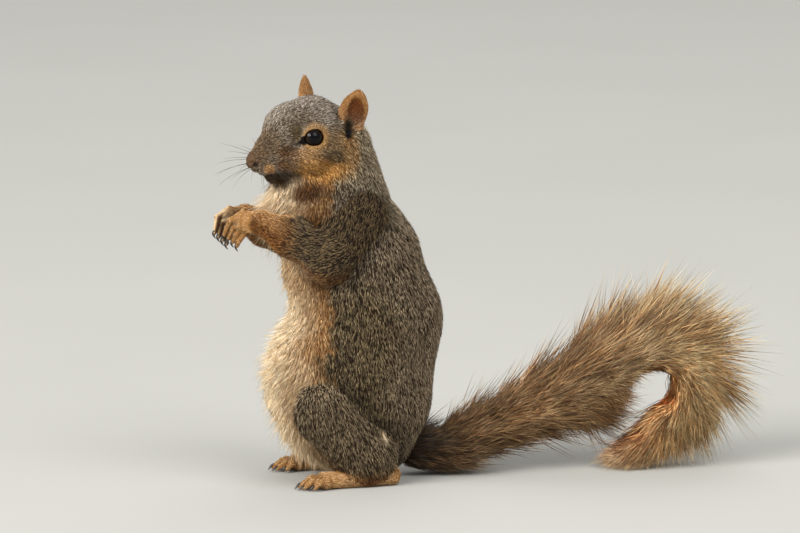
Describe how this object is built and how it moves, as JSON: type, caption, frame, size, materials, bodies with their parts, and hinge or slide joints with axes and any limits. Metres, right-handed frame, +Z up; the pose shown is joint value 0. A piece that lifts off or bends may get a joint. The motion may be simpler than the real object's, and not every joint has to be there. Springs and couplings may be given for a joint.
{
  "type": "fox squirrel",
  "caption": "Life-size fox squirrel sitting upright on its haunches, paws before its chest, tail trailing along the ground in a curl.",
  "frame": {"origin": "on the ground under the middle of the part's box", "axes": "+Z up, -Y the way the squirrel faces, +X its left side, tail towards +Y"},
  "size_m": [0.0966, 0.345, 0.2492],
  "materials": {
    "grey_coat": "grizzled grey-brown fur",
    "buff_coat": "short buff-orange fur",
    "rust_coat": "short rust-orange fur of the ears",
    "tail_brush": "long banded fur",
    "eye_gloss": "wet glossy dark brown, almost black",
    "nose_leather": "bare damp skin",
    "claw_horn": "dark horn",
    "whisker_hair": "stiff dark hair"
  },
  "bodies": {
    "root": {"head": "grey_coat", "neck": "grey_coat", "trunk": "grey_coat", "eye_left": "eye_gloss", "ear_left": "rust_coat", "upper_arm_left": "grey_coat", "forearm_left": "buff_coat", "hand_left": "buff_coat", "thigh_left": "grey_coat", "shank_left": "buff_coat", "foot_left": "buff_coat", "eye_right": "eye_gloss", "ear_right": "rust_coat", "upper_arm_right": "grey_coat", "forearm_right": "buff_coat", "hand_right": "buff_coat", "thigh_right": "grey_coat", "shank_right": "buff_coat", "foot_right": "buff_coat", "tail_1": "tail_brush", "tail_2": "tail_brush", "tail_3": "tail_brush", "tail_4": "tail_brush", "tail_5": "tail_brush"}
  },
  "joints": []
}
